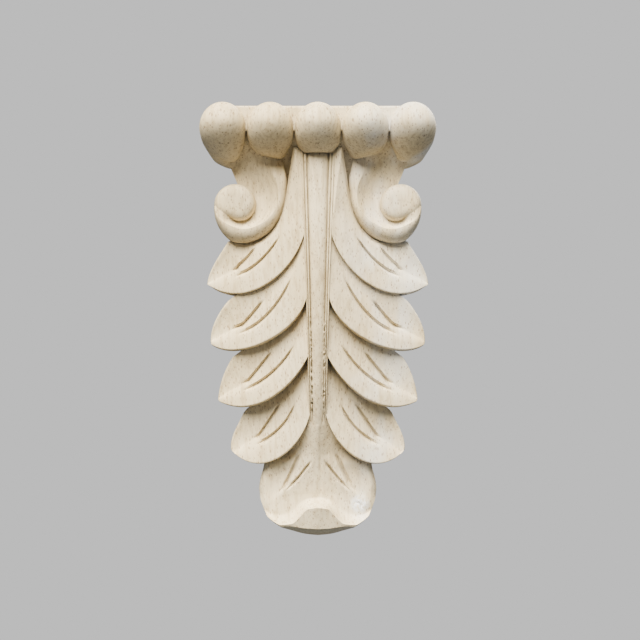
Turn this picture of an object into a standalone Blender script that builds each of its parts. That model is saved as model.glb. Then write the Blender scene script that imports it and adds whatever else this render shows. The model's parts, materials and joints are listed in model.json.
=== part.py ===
"""Carved wood applique: five beads over two volutes and a hanging acanthus leaf.

X runs to the viewer's right, Z up and the carving faces -Y. The flat back lies in the plane y = 0
and the origin is the middle of that back. Sizes are in millimetres and are scaled to metres at the end.
A point of the carving is written (x, z, depth), where depth is the distance in front of the back.
"""

import math

import bmesh
import bpy

MM = 0.001

# Overall sizes
WIDTH = 75.0
HEIGHT = 140.0
TOP = HEIGHT / 2
BACK_RUN = -3.0  # the solids run at least this far past the back plane and are then cut flat
BACK_STAGGER = 0.11
CUT_DEPTH = 20.0

# Row of egg-shaped beads and the slab behind them
BEAD_COUNT = 5
BEAD_RADIUS = 7.2
BEAD_PITCH = (WIDTH - 2 * BEAD_RADIUS) / (BEAD_COUNT - 1)
BEAD_UPPER = 8.4
BEAD_LOWER = 10.9
BEAD_RIM = ((70.0, 21.2), (66.6, 21.2), (63.8, 21.0), (61.6, 20.4), (59.5, 19.4), (57.0, 17.6),
            (54.5, 15.6), (50.0, 12.4))  # depth of the widest line of a bead against height
DOME_SEGMENTS = 32
DOME_RINGS = 8
BEAD_TAPER = ((0.0, 1.0), (0.3, 0.98), (0.45, 0.91), (0.6, 0.83), (1.0, 0.78))  # narrowing downwards
# Height and slant of the flat cut below each bead; the outer beads end in a rounded point
BEAD_FLOORS = ((50.0, 0.0), (53.6, -0.26), (54.5, 0.0), (53.6, 0.26), (50.0, 0.0))
SLAB_HALF_WIDTH = 33.0
SLAB_TOP = 68.8
SLAB_FOOT = 61.4
SLAB_DEPTH = 21.6

# Ground behind the carving
GROUND_HALF_WIDTH = 24.0
GROUND_TOP = 64.0
GROUND_FOOT = 24.0
GROUND_DEPTH = 8.0
NECK_HALF_WIDTH = 29.4
NECK_FOOT = 53.0
NECK_DEPTH = 11.0
SOFFIT_HALF_WIDTH = 5.0
SOFFIT_FOOT = 50.0
SOFFIT_DEPTH = 14.6
SHELF_HALF_WIDTH = 12.0
SHELF_FOOT = 57.0
SHELF_DEPTH = 13.0

# Stem: depth of its crest and half width against height
STEM_TOP = 52.4
STEM_FOOT = -46.0
STEM_FADE = 18.0
STEM_DEPTH = ((60.0, 15.2), (52.0, 17.0), (42.0, 19.6), (30.0, 21.4), (15.0, 22.2), (0.0, 21.5),
              (-10.0, 20.3), (-23.0, 17.9), (-34.0, 15.0), (-46.0, 11.4), (-53.0, 10.8), (-70.0, 10.8))
STEM_WIDTH = ((52.4, 5.1), (29.0, 4.2), (9.0, 3.5), (-10.0, 3.0), (-28.7, 2.6), (-46.0, 1.4))
STEM_SECTION = ((1.0, -1.3), (0.92, -0.6), (0.78, -0.55), (0.68, -1.5), (0.58, -0.7), (0.3, -0.12),
                (0.0, 0.0))
STEM_NOSE = ((0.0, 5.0), (0.35, 2.2), (1.2, 0.7), (2.6, 0.0))

# Leaf lobes from the top: root and tip of the crisp lower edge, the two points its curve is drawn
# towards (shares of its length along and below the line from root to tip), the shoulder where the
# lobe leaves the one above, and the depth of the tip
LOBES = (
    {"root": (4.1, 29.0), "tip": (34.8, 12.0), "pull": ((0.24, 0.27), (0.83, 0.39)),
     "shoulder": (28.6, 27.0), "depth": 13.0},
    {"root": (3.5, 9.2), "tip": (34.2, -7.2), "pull": ((0.18, 0.26), (0.84, 0.30)),
     "shoulder": (28.9, 7.6), "depth": 12.8},
    {"root": (2.9, -10.2), "tip": (32.0, -25.4), "pull": ((0.24, 0.22), (0.80, 0.33)),
     "shoulder": (27.5, -10.8), "depth": 11.6},
    {"root": (2.6, -28.7), "tip": (27.8, -41.6), "pull": ((0.22, 0.31), (0.86, 0.49)),
     "shoulder": (23.9, -28.2), "depth": 10.2},
)
LOBE_STATIONS = (0.0, 0.1, 0.2, 0.32, 0.45, 0.57, 0.68, 0.78, 0.87, 0.94, 1.0)
LOBE_OVERLAP = 2.2
TIP_HEIGHT = 1.8
LOBE_RISE = ((0.0, 1.0), (0.12, 3.0), (0.4, 4.2), (0.7, 4.0), (0.88, 2.6), (1.0, 0.9))
VEIN_LONG = 0.62
VEIN_SHORT = (0.36, 0.5)  # share of the breadth where the short cut starts and where it ends
VEIN_HALF = 0.04
VEIN_DEPTH = 0.8

# Volutes
EYE = (26.6, 38.1)
EYE_RADIUS = 6.7
EYE_DEPTH = 18.0
EYE_FOOT_DEPTH = 14.2
EYE_FLATNESS = 0.45
WALL_DEPTH = 10.5
CREST_RADIUS = ((49.0, 17.6), (24.6, 14.9), (5.8, 14.1), (-15.6, 12.4), (-42.0, 10.1), (-68.0, 8.6),
                (-97.0, 7.1), (-125.0, 6.6), (-180.0, 6.2))
WALL_RADIUS = ((45.0, 21.6), (22.7, 18.1), (1.9, 16.2), (-20.8, 15.0), (-47.9, 13.7), (-70.0, 12.8),
               (-97.5, 11.6), (-112.0, 10.1), (-135.0, 8.3), (-160.0, 7.1), (-180.0, 6.7))
SCROLL_START = 27.0
SCROLL_END = -176.0
SCROLL_STEPS = 15
# Inner line, crest and foot of the wall where the band comes down from the beads, with the
# depths of its channel and of its crest
SHEET_HEAD = (
    ((29.4, 62.6), (16.0, 62.8), (11.6, 63.0), 18.6, 19.0),
    ((29.4, 58.6), (16.0, 58.8), (11.6, 59.6), 15.0, 15.8),
    ((29.4, 54.4), (16.0, 54.6), (11.6, 56.0), 13.2, 14.6),
    ((28.6, 51.6), (15.4, 51.8), (11.4, 53.4), 12.4, 14.2),
    ((27.0, 47.5), (14.6, 48.4), (10.8, 50.0), 11.8, 15.2),
)
SCROLL_CHANNEL = ((27.0, 12.2), (-10.0, 13.8), (-60.0, 14.6), (-176.0, 15.0))
SCROLL_CREST = ((27.0, 16.4), (-10.0, 17.6), (-60.0, 17.8), (-176.0, 16.4))
# Sections of the hollow channel up to the crest and of the round rim from the crest to the wall
CHANNEL_SECTION = ((0.0, 0.1), (0.3, 0.0), (0.6, 0.06), (0.84, 0.5), (1.0, 1.0))
RIM_SECTION = ((0.3, 0.07), (0.62, 0.26), (0.88, 0.6), (1.0, 1.0))

# Bottom lobe with its tip rolled forward
TAIL_RIM = ((0.0, -70.0), (5.1, -69.3), (8.8, -67.8), (11.2, -66.4), (13.3, -65.1), (15.0, -63.8),
            (16.4, -62.3), (17.6, -60.0), (18.7, -57.0), (19.1, -53.8))
TAIL_SIDE = ((-44.0, 17.2), (-47.6, 17.9), (-50.5, 18.7), (-53.8, 19.1), (-57.0, 18.7))
TAIL_HEIGHTS = (-29.0, -34.0, -39.0, -43.0, -46.5, -49.5, -52.0, -54.4)
TAIL_BEVEL = 2.0
TAIL_LINES = {"scoop": 17.7, "crest": 17.3, "foot": 16.9, "under": 16.5, "rim": 16.1}
SCOOP_DEPTH = 10.0
ROLL_TOP = -56.8
ROLL_CREST = -59.0
ROLL_WAVE = 5.2
ROLL_HALF = 9.6
ROLL_DEPTH = 15.4
LENS_FOOT = -66.1
LENS_FOOT_DEPTH = 14.0
LIP_DEPTH = 13.2
UNDER_DEPTH = 2.2
TAIL_COLUMNS = 28
TAIL_VEINS = (((2.1, -44.5), (4.1, -47.4), (6.9, -50.9), (9.8, -53.8)),
              ((5.7, -41.8), (7.2, -45.2), (9.0, -49.6), (11.5, -54.3)))
TAIL_VEIN_RADIUS = 0.5
TAIL_VEIN_POINTS = 9


def along(table, value):
    """Value of a smooth curve through the (position, value) pairs of a table."""
    rows = sorted(table)
    if value <= rows[0][0]:
        return rows[0][1]
    if value >= rows[-1][0]:
        return rows[-1][1]
    slopes = []
    for i in range(len(rows)):
        low = rows[max(i - 1, 0)]
        high = rows[min(i + 1, len(rows) - 1)]
        slopes.append((high[1] - low[1]) / (high[0] - low[0]))
    i = next(k for k in range(len(rows) - 1) if value <= rows[k + 1][0])
    span = rows[i + 1][0] - rows[i][0]
    t = (value - rows[i][0]) / span
    return (
        rows[i][1] * (1 + 2 * t) * (1 - t) ** 2
        + slopes[i] * span * t * (1 - t) ** 2
        + rows[i + 1][1] * t * t * (3 - 2 * t)
        - slopes[i + 1] * span * t * t * (1 - t)
    )


def ease(value):
    """Smooth step from 0 to 1."""
    value = min(max(value, 0.0), 1.0)
    return value * value * (3 - 2 * value)


def mix(first, second, share):
    return tuple(a + (b - a) * share for a, b in zip(first, second))


def bezier(points, t):
    a, b, c, d = points
    u = 1 - t
    return tuple(
        u ** 3 * p + 3 * u * u * t * q + 3 * u * t * t * r + t ** 3 * s for p, q, r, s in zip(a, b, c, d)
    )


def run_back(collection):
    """Depth to which the next solid of a collection runs, each one a little farther."""
    return BACK_RUN - BACK_STAGGER * len(collection.objects)


def add_object(name, mesh, collection):
    data = bpy.data.meshes.new(name)
    mesh.to_mesh(data)
    mesh.free()
    thing = bpy.data.objects.new(name, data)
    collection.objects.link(thing)
    return thing


def loft(name, rows, collection, side=1):
    """Closed solid: a front sheet through rows of (x, z, depth) points, run straight back."""
    mesh = bmesh.new()
    run = run_back(collection)
    front = [[mesh.verts.new((side * x * MM, -d * MM, z * MM)) for x, z, d in row] for row in rows]
    back = [[mesh.verts.new((side * x * MM, -run * MM, z * MM)) for x, z, d in row] for row in rows]
    last_row = len(rows) - 1
    last_column = len(rows[0]) - 1
    for i in range(last_row):
        for j in range(last_column):
            corners = ((i, j), (i + 1, j), (i + 1, j + 1), (i, j + 1))
            face = mesh.faces.new([front[a][b] for a, b in corners])
            face.smooth = True
            mesh.faces.new([back[a][b] for a, b in reversed(corners)])
    rim = [(0, j) for j in range(last_column)] + [(i, last_column) for i in range(last_row)]
    rim += [(last_row, j) for j in range(last_column, 0, -1)]
    rim += [(i, 0) for i in range(last_row, 0, -1)]
    for (a, b), (c, d) in zip(rim, rim[1:] + rim[:1]):
        mesh.faces.new((front[a][b], front[c][d], back[c][d], back[a][b]))
    bmesh.ops.remove_doubles(mesh, verts=mesh.verts, dist=0.00001)
    bmesh.ops.dissolve_degenerate(mesh, edges=mesh.edges, dist=0.00001)
    bmesh.ops.recalc_face_normals(mesh, faces=mesh.faces)
    return add_object(name, mesh, collection)


def block(name, half_width, foot, top, depth, collection):
    rows = [[(x, z, depth) for x in (-half_width, half_width)] for z in (foot, top)]
    return loft(name, rows, collection)


def space_behind(name, collection):
    """Box whose front face is the back plane of the carving."""
    mesh = bmesh.new()
    bmesh.ops.create_cube(mesh, size=1.0)
    bmesh.ops.scale(mesh, vec=(2 * WIDTH * MM, CUT_DEPTH * MM, 2 * HEIGHT * MM), verts=mesh.verts)
    bmesh.ops.translate(mesh, vec=(0.0, CUT_DEPTH / 2 * MM, 0.0), verts=mesh.verts)
    return add_object(name, mesh, collection)


def dome(name, place, collection):
    """Round-fronted solid run straight back: `place` turns a point of a unit sphere into (x, z, depth)."""
    mesh = bmesh.new()
    bmesh.ops.create_uvsphere(mesh, u_segments=DOME_SEGMENTS, v_segments=2 * DOME_RINGS, radius=1.0)
    run = run_back(collection)
    for vertex in mesh.verts:
        across, up, out = vertex.co
        ring = math.hypot(across, up)
        behind = out < -0.001
        if behind and ring > 0.001:
            across, up = across / ring, up / ring
        x, z, depth = place(across, up, max(out, 0.0))
        vertex.co = (x * MM, -(run if behind else depth) * MM, z * MM)
    bmesh.ops.remove_doubles(mesh, verts=mesh.verts, dist=0.00001)
    bmesh.ops.recalc_face_normals(mesh, faces=mesh.faces)
    for face in mesh.faces:
        face.smooth = -face.normal.y > 0.15
    return add_object(name, mesh, collection)


def bead(name, centre, floor, collection):
    """Egg-shaped dome that leans forward and is cut off flat below."""
    def place(across, up, out):
        z = TOP - BEAD_UPPER + up * (BEAD_UPPER if up > 0 else BEAD_LOWER)
        depth = along(BEAD_RIM, z) + BEAD_RADIUS * out
        x = BEAD_RADIUS * across * along(BEAD_TAPER, -up)
        return (centre + x, max(z, floor[0] + floor[1] * x), depth)

    return dome(name, place, collection)


def lower_edge(lobe, s):
    """Crisp lower edge of a lobe from the stem (s = 0) to its tip (s = 1)."""
    (rx, rz), (tx, tz) = lobe["root"], lobe["tip"]
    run_x, run_z = tx - rx, tz - rz
    bends = [(rx + run_x * out + run_z * down, rz + run_z * out - run_x * down) for out, down in lobe["pull"]]
    return bezier(((rx, rz), *bends, (tx, tz)), s)


def upper_edge(index, s):
    """Upper edge: hidden below the lobe above, then the free outline from the shoulder to the tip."""
    lobe = LOBES[index]
    tip = (lobe["tip"][0], lobe["tip"][1] + TIP_HEIGHT)
    shoulder = lobe["shoulder"]
    if index == 0:
        start = (6.8, 57.5)
        handles = ((8.6, 46.0), (13.0, 33.0))
    else:
        above = LOBES[index - 1]
        start = (above["root"][0], above["root"][1] + LOBE_OVERLAP)
        middle = lower_edge(above, 0.42)
        handles = ((start[0] + 4.0, middle[1] + 5.5), (shoulder[0] - 8.0, shoulder[1] + 6.5))
    if s < 0.68:
        return bezier((start, handles[0], handles[1], shoulder), s / 0.68)
    reach = ((shoulder[0] + 2.6, shoulder[1] - 4.2), (tip[0] + 0.3, tip[1] + 4.0))
    return bezier((shoulder, reach[0], reach[1], tip), (s - 0.68) / 0.32)


def vein(t, s, centre, start, end):
    """Depth lost to a V-cut running along the lobe at share `centre` of its breadth."""
    open_share = ease((s - start) / 0.12) * ease((end - s) / 0.12)
    return VEIN_DEPTH * open_share * max(0.0, 1 - abs(t - centre) / VEIN_HALF)


def lobe_rows(index):
    lobe = LOBES[index]
    root_depth = along(STEM_DEPTH, lobe["root"][1]) - 1.0
    rows = []
    for s in LOBE_STATIONS:
        low = lower_edge(lobe, s)
        high = upper_edge(index, s)
        reach = max(0.0, (low[0] - lobe["root"][0]) / (lobe["tip"][0] - lobe["root"][0]))
        crest = root_depth + (lobe["depth"] - root_depth) * reach ** 1.25
        rise = along(LOBE_RISE, s)
        short = VEIN_SHORT[0] + (VEIN_SHORT[1] - VEIN_SHORT[0]) * ease((s - 0.3) / 0.45)
        cuts = [short - VEIN_HALF, short, short + VEIN_HALF]
        cuts += [VEIN_LONG - VEIN_HALF, VEIN_LONG, VEIN_LONG + VEIN_HALF]
        row = []
        for t in [0.0, 0.07, 0.2] + cuts + [0.82, 0.95, 1.0]:
            x, z = mix(high, low, t)
            hollow = rise * (1 - t) ** 1.15 - 0.9 * max(0.0, 1 - t / 0.2) ** 2 * ease((s - 0.5) / 0.2)
            depth = crest - hollow - 0.35 * max(0.0, (t - 0.9) / 0.1) ** 2
            depth -= vein(t, s, VEIN_LONG, 0.16, 0.86) + vein(t, s, short, 0.34, 0.80)
            if s == 0.0:
                depth = min(depth, along(STEM_DEPTH, z) - 2.2)
                x = x * 0.4 if index or t > 0 else x * 0.95
            row.append((x, z, depth))
        rows.append(row)
    return rows


def stem_rows():
    heights = [STEM_TOP - drop for drop, _ in STEM_NOSE]
    heights += [STEM_TOP - 6.4 - 7.0 * k for k in range(14)] + [STEM_FOOT]
    rows = []
    for z in heights:
        nose = along(STEM_NOSE, STEM_TOP - z) if STEM_TOP - z < STEM_NOSE[-1][0] else 0.0
        half = along(STEM_WIDTH, z) * (1 - 0.06 * nose)
        fade = ease((z - STEM_FOOT) / STEM_FADE)
        crest = along(STEM_DEPTH, z) - nose - 1.2 * (1 - fade)
        right = [(f * half, z, crest + drop * fade) for f, drop in STEM_SECTION]
        left = [(-x, height, depth) for x, height, depth in right[:-1]]
        rows.append(left + right[::-1])
    return rows


def spiral(angle, radius):
    turn = math.radians(angle)
    return (EYE[0] - radius * math.cos(turn), EYE[1] + radius * math.sin(turn))


def scroll_rows():
    """Concave band that comes down from the beads and winds below the eye."""
    lines = list(SHEET_HEAD)
    for k in range(SCROLL_STEPS + 1):
        angle = SCROLL_START + (SCROLL_END - SCROLL_START) * k / SCROLL_STEPS
        inner = spiral(angle, EYE_RADIUS * 0.5)
        crest = spiral(angle, along(CREST_RADIUS, angle))
        wall = spiral(angle, along(WALL_RADIUS, angle))
        lines.append((inner, crest, wall, along(SCROLL_CHANNEL, angle), along(SCROLL_CREST, angle)))
    rows = []
    for inner, crest, wall, low, ridge in lines:
        drop = ridge - WALL_DEPTH
        row = [(*mix(inner, crest, share), low + rise * (ridge - low)) for share, rise in CHANNEL_SECTION]
        row += [(*mix(crest, wall, share), ridge - fall * drop) for share, fall in RIM_SECTION]
        rows.append(row)
    return rows


def eye(name, side, collection):
    """Flat-topped round boss in the middle of the volute."""
    def place(across, up, out):
        rise = (EYE_DEPTH - EYE_FOOT_DEPTH) * out ** EYE_FLATNESS
        return (side * EYE[0] + EYE_RADIUS * across, EYE[1] + EYE_RADIUS * up, EYE_FOOT_DEPTH + rise)

    return dome(name, place, collection)


def arch(x, top):
    """Height of a line that crosses the tail, arched in the middle and level under the lips."""
    return top - ROLL_WAVE * ease(abs(x) / ROLL_HALF)


def tail_depth(x, z):
    """Depth of the scoop, which is sunk at the sides where the lowest lobes cover it."""
    free = ease((-40.0 - z) / 6.0)
    share = min(abs(x) / along(TAIL_SIDE, z), 1.0)
    bevel = free * TAIL_BEVEL * max(0.0, (share - 0.88) / 0.12) ** 1.6
    return along(STEM_DEPTH, z) - 1.0 - (1 - free) * 7.0 * share ** 1.5 - bevel


def tail_rows():
    """Bottom lobe: a scoop, then the tip rolled forward with an arch between two lips."""
    columns = [2 * j / TAIL_COLUMNS - 1 for j in range(TAIL_COLUMNS + 1)]
    rows = []
    for z in TAIL_HEIGHTS:
        half = along(TAIL_SIDE, z)
        rows.append([(u * half, z, tail_depth(u * half, z)) for u in columns])
    lower = {name: [] for name in TAIL_LINES}
    for u in columns:
        side = abs(u)
        fall = 2.0 * max(0.0, (side - 0.72) / 0.28) ** 2
        x = u * TAIL_LINES["scoop"]
        lift = 1.5 * max(0.0, (abs(x) - 13.0) / 4.4) ** 2
        height = max(arch(x, ROLL_TOP) + lift, along(TAIL_RIM, abs(x)) + 1.3 * (1 - side ** 6))
        lower["scoop"].append((x, height, SCOOP_DEPTH + 0.6 * side - 0.6 * fall))
        heights = {}
        for name, inset in (("crest", 0.9), ("foot", 0.55), ("under", 0.25), ("rim", 0.0)):
            x = u * TAIL_LINES[name]
            heights[name] = (x, along(TAIL_RIM, abs(x)) + inset * (1 - side ** 6))
        wave = ease(abs(heights["crest"][0]) / ROLL_HALF)
        open_share = 1 - ease((abs(heights["rim"][0]) - 5.0) / 6.0)
        x, edge = heights["crest"]
        top = ROLL_DEPTH + (LIP_DEPTH - ROLL_DEPTH) * wave - fall
        lower["crest"].append((x, max(arch(x, ROLL_CREST), edge), top))
        x, edge = heights["foot"]
        low = LENS_FOOT_DEPTH + (LIP_DEPTH - 0.4 - LENS_FOOT_DEPTH) * wave - fall
        lower["foot"].append((x, max(LENS_FOOT + (x / 10.8) ** 2, edge), low))
        x, edge = heights["under"]
        lower["under"].append((x, edge + 1.0 * open_share, low - 0.5 - 4.6 * open_share))
        x, edge = heights["rim"]
        lower["rim"].append((x, edge, low - 1.2 + (UNDER_DEPTH - low + 1.2) * open_share))
    between = [mix(first, second, 0.5) for first, second in zip(rows[-1], lower["scoop"])]
    rows.append([(x * 1.018, z, depth) for x, z, depth in between])
    return rows + list(lower.values())


def tail_vein(name, points, side, collection):
    """Tube along a vein of the bottom lobe, thinning to both ends, that cuts a round groove."""
    path = bpy.data.curves.new(name, "CURVE")
    path.dimensions = "3D"
    path.bevel_depth = TAIL_VEIN_RADIUS * MM
    path.bevel_resolution = 1
    path.use_fill_caps = True
    line = path.splines.new("POLY")
    line.points.add(TAIL_VEIN_POINTS - 1)
    for k, point in enumerate(line.points):
        t = k / (TAIL_VEIN_POINTS - 1)
        x, z = bezier(points, t)
        point.co = (side * x * MM, -tail_depth(x, z) * MM, z * MM, 1.0)
        point.radius = 0.3 + 0.7 * ease(min(t, 1 - t) / 0.3)
    drawn = bpy.data.objects.new(name + "_path", path)
    mesh = bmesh.new()
    mesh.from_mesh(bpy.data.meshes.new_from_object(drawn))
    bpy.data.objects.remove(drawn)
    return add_object(name, mesh, collection)


def wood():
    material = bpy.data.materials.new("wood")
    material.use_nodes = True
    shader = material.node_tree.nodes["Principled BSDF"]
    shader.inputs["Base Color"].default_value = (0.76, 0.64, 0.47, 1.0)
    shader.inputs["Roughness"].default_value = 0.62
    shader.inputs["Metallic"].default_value = 0.0
    return material


def build():
    for thing in list(bpy.data.objects):
        bpy.data.objects.remove(thing)
    parts = bpy.data.collections.new("carved_wood_applique")
    shapes = bpy.data.collections.new("construction_shapes")
    bpy.context.scene.collection.children.link(parts)
    bpy.context.scene.collection.children.link(shapes)

    applique = block("applique", GROUND_HALF_WIDTH, GROUND_FOOT, GROUND_TOP, GROUND_DEPTH, parts)
    block("neck", NECK_HALF_WIDTH, NECK_FOOT, SLAB_FOOT + 2.0, NECK_DEPTH, shapes)
    block("soffit", SOFFIT_HALF_WIDTH, SOFFIT_FOOT, SLAB_FOOT + 1.0, SOFFIT_DEPTH, shapes)
    block("shelf", SHELF_HALF_WIDTH, SHELF_FOOT, SLAB_FOOT + 1.5, SHELF_DEPTH, shapes)
    block("slab", SLAB_HALF_WIDTH, SLAB_FOOT, SLAB_TOP, SLAB_DEPTH, shapes)
    for k in range(BEAD_COUNT):
        bead(f"bead_{k + 1}", (k - (BEAD_COUNT - 1) / 2) * BEAD_PITCH, BEAD_FLOORS[k], shapes)
    loft("stem", stem_rows(), shapes)
    for side in (-1, 1):
        hand = "left" if side < 0 else "right"
        for index in range(len(LOBES)):
            loft(f"lobe_{index + 1}_{hand}", lobe_rows(index), shapes, side)
        loft(f"scroll_{hand}", scroll_rows(), shapes, side)
        eye(f"eye_{hand}", side, shapes)
    loft("tail", tail_rows(), shapes)

    cuts = bpy.data.collections.new("cutters")
    bpy.context.scene.collection.children.link(cuts)
    space_behind("space_behind_the_back", cuts)
    for side in (-1, 1):
        for k, points in enumerate(TAIL_VEINS):
            tail_vein(f"tail_vein_{k + 1}_{'left' if side < 0 else 'right'}", points, side, cuts)

    for thing in list(shapes.objects) + list(cuts.objects):
        thing.hide_render = True
        thing.display_type = "WIRE"

    join = applique.modifiers.new("join the carved forms", "BOOLEAN")
    join.operation = "UNION"
    join.solver = "EXACT"
    join.operand_type = "COLLECTION"
    join.collection = shapes
    cut = applique.modifiers.new("cut the back flat and the tail veins", "BOOLEAN")
    cut.operation = "DIFFERENCE"
    cut.solver = "EXACT"
    cut.operand_type = "COLLECTION"
    cut.collection = cuts
    applique.data.materials.append(wood())


build()
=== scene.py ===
import json
import math

import bmesh
import bpy
import numpy as np
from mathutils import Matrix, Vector, noise
from mathutils.geometry import delaunay_2d_cdt

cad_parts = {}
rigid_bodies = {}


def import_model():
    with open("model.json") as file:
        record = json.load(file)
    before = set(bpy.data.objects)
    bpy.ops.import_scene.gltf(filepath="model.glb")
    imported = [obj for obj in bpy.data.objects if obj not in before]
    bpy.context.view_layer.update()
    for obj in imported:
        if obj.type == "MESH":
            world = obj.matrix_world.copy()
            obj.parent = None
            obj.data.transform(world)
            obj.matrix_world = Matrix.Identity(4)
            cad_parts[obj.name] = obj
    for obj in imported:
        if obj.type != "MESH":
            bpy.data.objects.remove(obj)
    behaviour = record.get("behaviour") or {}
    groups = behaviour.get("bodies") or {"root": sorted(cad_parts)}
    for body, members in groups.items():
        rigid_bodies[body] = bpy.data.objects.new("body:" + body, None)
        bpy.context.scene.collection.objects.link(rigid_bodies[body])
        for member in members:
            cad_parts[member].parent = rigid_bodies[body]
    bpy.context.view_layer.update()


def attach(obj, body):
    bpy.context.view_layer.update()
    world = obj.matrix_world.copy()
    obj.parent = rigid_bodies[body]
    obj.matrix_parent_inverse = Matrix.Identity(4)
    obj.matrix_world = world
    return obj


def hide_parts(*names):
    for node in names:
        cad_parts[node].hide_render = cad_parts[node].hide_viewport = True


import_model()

MM = 0.001

# Overall sizes in millimetres; a point of the carving is (x, z, depth in front of the flat back)
WIDTH = 75.0
TOP = 70.0

# The forms run back past the flat back before it is cut, each a little further than the one before
BACK_RUN = -3.0
BACK_STAGGER = 0.13
CUT_BOX = (0.2, 0.02, 0.3)

# Row of beads: depth of the rim against height, and share of the full breadth against the way down
BEAD_RADIUS = 7.4
BEAD_SWELL = 7.2
BEAD_PITCH = (WIDTH - 2 * BEAD_RADIUS) / 4
BEAD_UPPER = 8.4
BEAD_LOWER = 10.9
BEAD_RIM = ((70.0, 21.2), (66.6, 21.2), (63.8, 21.0), (61.6, 20.4), (59.5, 19.4), (57.0, 17.6),
            (54.5, 15.6), (50.0, 12.4))
BEAD_TAPER = ((0.0, 1.0), (0.3, 1.015), (0.45, 0.97), (0.63, 0.89), (1.0, 0.84))
END_TAPER = ((0.0, 1.0), (0.3, 0.97), (0.5, 0.88), (0.8, 0.80), (1.0, 0.76))
DROP_TAPER = ((0.0, 1.0), (0.3, 0.99), (0.45, 0.94), (0.6, 0.88), (1.0, 0.84))

# Lower end of a bead: its level, its slope across and how softly it is cut
BEAD_FLOORS = ((53.4, -0.26, 2.0), (54.4, 0.0, 0.8), (53.4, 0.26, 2.0))
END_FLOOR = (52.6, 0.45, 3.0)
DROP_FLOOR = (51.5, 0.45, 1.6)
END_LEAN = 0.9
DROP_BACK = 5.0

# Plain blocks behind the forms: half width, foot, top and depth
SLAB =(33.0, 60.8, 68.8, 21.6)
GROUND = (24.0, 24.0, 64.0, 8.0)
NECK = (29.4, 53.0, 63.4, 11.0)
SOFFIT = (5.0, 50.0, 62.4, 14.6)
BLOCK_BEVEL = 0.35
SLAB_BEVEL = 0.5

# Floor of the hollows beside the stem: half width, and depth against height
RECESS_HALF = 13.0
RECESS_DEPTH = ((64.0, 21.0), (60.5, 20.3), (57.5, 17.6), (54.0, 14.0), (50.0, 11.6), (44.0, 9.8),
                (36.0, 8.4))

# Stem: depth of its crest and half width against height, drop of its rounded top, section across
STEM_TOP = 56.6
STEM_FOOT = -42.0
STEM_DEPTH = ((60.0, 17.0), (52.0, 18.8), (42.0, 20.5), (30.0, 21.7), (15.0, 22.2), (0.0, 21.5),
              (-10.0, 20.3), (-23.0, 17.9), (-34.0, 15.0), (-46.0, 11.4), (-53.0, 10.8), (-70.0, 10.8))
STEM_WIDTH = ((52.4, 5.1), (29.0, 4.2), (9.0, 3.5), (-10.0, 3.0), (-28.7, 2.6), (-47.0, 1.4))
STEM_NOSE = ((0.0, 5.0), (0.15, 3.4), (0.4, 2.2), (0.8, 1.3), (1.3, 0.7), (2.0, 0.25), (2.9, 0.0))
STEM_SECTION = ((0.0, 0.0), (0.1, -0.02), (0.2, -0.07), (0.3, -0.16), (0.4, -0.30), (0.48, -0.46),
                (0.55, -0.66), (0.61, -0.95), (0.65, -1.35), (0.68, -1.65), (0.70, -1.35), (0.73, -0.95),
                (0.76, -0.76), (0.79, -0.70), (0.82, -0.76), (0.85, -0.98), (0.88, -1.40), (0.91, -1.05),
                (0.95, -0.80), (1.0, -0.72), (1.04, -0.90), (1.08, -1.6), (1.11, -3.4))

# Lobes of the leaf: lower edge, free upper outline, long and short vein, depth of the tip
LOBES = (
    {"edge": ((4.1, 29.0), (7.0, 16.6), (22.3, 4.0), (34.7, 12.0)),
     "outline": ((28.8, 26.7), (31.3, 22.2), (35.1, 18.0), (35.7, 12.7)),
     "long": ((11.7, 28.3), (15.4, 22.6), (20.3, 16.7), (27.2, 14.9)),
     "short": ((20.0, 24.5), (21.9, 21.2), (25.0, 19.1), (27.3, 16.2)), "depth": 13.0},
    {"edge": ((3.4, 9.2), (4.5, -1.8), (24.2, -12.5), (34.0, -7.1)),
     "outline": ((28.9, 7.2), (32.4, 3.2), (34.9, -1.7), (34.6, -6.2)),
     "long": ((8.0, 15.3), (11.5, 7.0), (17.4, -1.0), (26.4, -3.6)),
     "short": ((17.3, 7.4), (20.4, 3.7), (23.3, -0.3), (27.3, -3.0)), "depth": 12.8},
    {"edge": ((2.9, -10.2), (8.0, -20.4), (19.8, -30.6), (31.7, -25.4)),
     "outline": ((27.6, -11.0), (30.4, -15.3), (31.9, -20.0), (32.3, -24.4)),
     "long": ((7.1, -6.3), (11.0, -13.3), (17.0, -19.2), (24.8, -21.9)),
     "short": ((14.7, -9.0), (17.6, -12.9), (20.8, -16.6), (23.9, -20.4)), "depth": 11.6},
    {"edge": ((2.5, -28.7), (4.2, -39.3), (17.6, -51.4), (27.4, -41.8)),
     "outline": ((24.0, -28.7), (25.8, -32.9), (28.8, -36.9), (28.2, -41.0)),
     "long": ((7.1, -25.1), (9.0, -31.6), (14.2, -37.0), (20.5, -39.5)),
     "short": ((12.0, -25.7), (14.6, -29.9), (17.5, -34.2), (20.4, -38.4)), "depth": 10.2},
)
LOBE_STATIONS = 88
LOBE_INSET = 0.16
VEIN_WIDTH = 0.85
VEIN_DEPTH = 1.35

# How far the lower edge stands out over the upper side, against the way along a lobe
LOBE_RISE = ((0.0, 1.0), (0.12, 3.0), (0.4, 4.2), (0.7, 4.0), (0.88, 2.6), (1.0, 0.9))

# Face that falls away past the lower edge: distance from the edge, and drop
LOBE_SKIRT = ((0.08, 0.35), (0.34, 1.9), (0.62, 3.8))

# Share of the way along a lobe where its upper side comes out from under the form above
SHOULDER = 0.66

# Extra hollow of each lobe's covered upper side, as a share of its rise
UPPER_SINK = (0.42, 0.0, 0.0, 0.0)

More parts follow.
